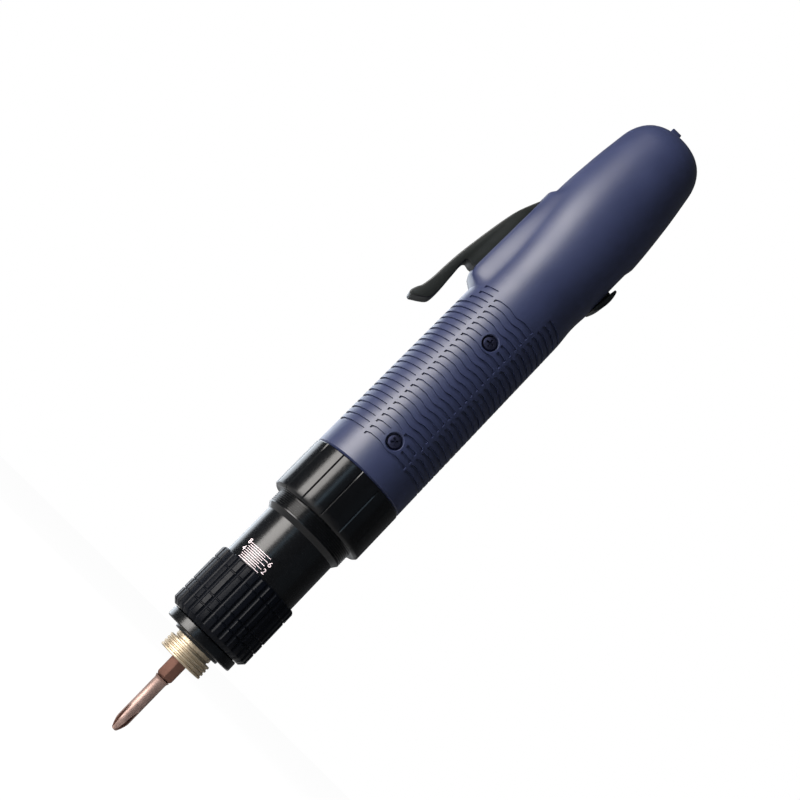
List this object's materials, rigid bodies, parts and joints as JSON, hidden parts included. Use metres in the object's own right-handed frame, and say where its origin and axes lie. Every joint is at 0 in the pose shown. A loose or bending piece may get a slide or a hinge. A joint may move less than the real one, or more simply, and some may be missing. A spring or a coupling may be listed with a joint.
{
  "type": "electric torque screwdriver",
  "caption": "Lever-start electric screwdriver with an adjustable torque clutch, planetary gears and a quick-release hexagon bit holder",
  "frame": {"origin": "on the spindle axis at the middle of the coupling collar", "axes": "+Z along the spindle axis towards the cable end, so the bit points to -Z; -X towards the start lever; +X towards the reverse paddle; the casing parts on the plane Y = 0"},
  "size_m": [0.0573, 0.0404, 0.3117],
  "materials": {
    "casing_plastic": "satin blue-grey moulded plastic",
    "black_plastic": "satin black plastic",
    "black_metal": "black anodised",
    "polished_collar": "polished black",
    "bit_steel": "tinted hardened steel",
    "nickel": "nickel plated",
    "screw_steel": "zinc plated",
    "steel": "machined",
    "spring_steel": "drawn wire",
    "aluminium": "die cast",
    "brass": "plain",
    "board": "coated board"
  },
  "bodies": {
    "driver": {"housing_shell_near": "casing_plastic", "housing_shell_far": "casing_plastic", "housing_screws": "screw_steel", "coupling_collar": "polished_collar", "clutch_barrel": "black_metal", "nose_cap": "black_metal", "spindle_bearing": "steel", "ring_gear": "steel", "front_bracket": "aluminium", "rear_bracket": "aluminium", "motor_can": "steel", "motor_magnets": "steel", "brush_holder": "black_plastic", "brushes": "brass", "front_motor_bearing": "steel", "rear_motor_bearing": "steel", "control_board": "board", "board_components": "board", "start_switch": "black_plastic", "reverse_switch": "black_plastic", "lever_pin": "screw_steel", "lever_spring": "spring_steel", "power_socket": "black_plastic", "socket_pins": "brass", "hanger_eye": "casing_plastic", "thrust_plate": "steel", "torque_spring": "spring_steel"},
    "spring_seat": {"spring_seat": "steel"},
    "adjusting_ring": {"torque_adjusting_ring": "black_metal"},
    "spindle": {"bit": "bit_steel", "spindle": "steel", "detent_balls": "steel", "stop_ring": "screw_steel", "clutch_jaw": "steel", "clutch_balls": "steel", "output_carrier": "steel", "sleeve_spring": "spring_steel"},
    "bit_sleeve": {"bit_sleeve": "nickel"},
    "first_carrier": {"first_carrier": "steel"},
    "rotor": {"rotor_core": "steel", "commutator": "brass", "motor_shaft": "steel", "motor_pinion": "steel"},
    "start_lever": {"start_lever": "black_plastic"},
    "start_switch_plunger": {"start_switch_plunger": "black_plastic"},
    "reverse_paddle": {"reverse_paddle": "black_plastic"},
    "first_planet_1": {"first_planet_1": "steel"},
    "second_planet_1": {"second_planet_1": "steel"},
    "first_planet_2": {"first_planet_2": "steel"},
    "second_planet_2": {"second_planet_2": "steel"},
    "first_planet_3": {"first_planet_3": "steel"},
    "second_planet_3": {"second_planet_3": "steel"}
  },
  "joints": [
    {"name": "torque_seat_slide", "type": "slide", "parent": "driver", "child": "spring_seat", "axis": [0, 0, 1], "range_m": [0, 0.008], "deforming": ["torque_spring"]},
    {"name": "torque_ring_turn", "type": "hinge", "parent": "spring_seat", "child": "adjusting_ring", "pos_m": [0, 0, -0.052], "axis": [0, 0, 1], "range_deg": [0, 2880]},
    {"name": "rotor_spin", "type": "hinge", "parent": "driver", "child": "rotor", "pos_m": [0, 0, 0.05], "axis": [0, 0, 1], "continuous": true},
    {"name": "first_carrier_spin", "type": "hinge", "parent": "driver", "child": "first_carrier", "pos_m": [0, 0, 0.0105], "axis": [0, 0, 1], "continuous": true},
    {"name": "spindle_spin", "type": "hinge", "parent": "driver", "child": "spindle", "pos_m": [0, 0, -0.05], "axis": [0, 0, 1], "continuous": true},
    {"name": "bit_sleeve_slide", "type": "slide", "parent": "spindle", "child": "bit_sleeve", "axis": [0, 0, 1], "range_m": [0, 0.002], "stiffness_N_per_m": 800, "springref_m": -0.003, "deforming": ["sleeve_spring"]},
    {"name": "start_lever_press", "type": "hinge", "parent": "driver", "child": "start_lever", "pos_m": [-0.02, 0, 0.136], "axis": [0, -1, 0], "range_deg": [0, 6], "stiffness_Nm_per_rad": 0.6, "springref_deg": -8.59, "deforming": ["lever_spring"]},
    {"name": "start_switch_travel", "type": "slide", "parent": "driver", "child": "start_switch_plunger", "axis": [1, 0, 0], "range_m": [0, 0.0033]},
    {"name": "reverse_paddle_rock", "type": "hinge", "parent": "driver", "child": "reverse_paddle", "pos_m": [0.0159, 0, 0.1278], "axis": [0, -1, 0], "range_deg": [0, 12]},
    {"name": "first_planet_1_spin", "type": "hinge", "parent": "first_carrier", "child": "first_planet_1", "pos_m": [0.00825, 0, 0.015], "axis": [0, 0, 1], "continuous": true},
    {"name": "second_planet_1_spin", "type": "hinge", "parent": "spindle", "child": "second_planet_1", "pos_m": [0.00825, 0, 0.0055], "axis": [0, 0, 1], "continuous": true},
    {"name": "first_planet_2_spin", "type": "hinge", "parent": "first_carrier", "child": "first_planet_2", "pos_m": [-0.00413, 0.00714, 0.015], "axis": [0, 0, 1], "continuous": true},
    {"name": "second_planet_2_spin", "type": "hinge", "parent": "spindle", "child": "second_planet_2", "pos_m": [-0.00413, 0.00714, 0.0055], "axis": [0, 0, 1], "continuous": true},
    {"name": "first_planet_3_spin", "type": "hinge", "parent": "first_carrier", "child": "first_planet_3", "pos_m": [-0.00413, -0.00714, 0.015], "axis": [0, 0, 1], "continuous": true},
    {"name": "second_planet_3_spin", "type": "hinge", "parent": "spindle", "child": "second_planet_3", "pos_m": [-0.00413, -0.00714, 0.0055], "axis": [0, 0, 1], "continuous": true}
  ],
  "couplings": [
    {"joint": "torque_seat_slide", "follows": "torque_ring_turn", "m_per_rad": 0.00015915},
    {"joint": "first_carrier_spin", "follows": "rotor_spin", "ratio": 0.27273},
    {"joint": "spindle_spin", "follows": "rotor_spin", "ratio": 0.07438},
    {"joint": "start_switch_travel", "follows": "start_lever_press", "m_per_rad": 0.03},
    {"joint": "first_planet_1_spin", "follows": "rotor_spin", "ratio": -0.87273},
    {"joint": "second_planet_1_spin", "follows": "rotor_spin", "ratio": -0.23802},
    {"joint": "first_planet_2_spin", "follows": "rotor_spin", "ratio": -0.87273},
    {"joint": "second_planet_2_spin", "follows": "rotor_spin", "ratio": -0.23802},
    {"joint": "first_planet_3_spin", "follows": "rotor_spin", "ratio": -0.87273},
    {"joint": "second_planet_3_spin", "follows": "rotor_spin", "ratio": -0.23802}
  ]
}
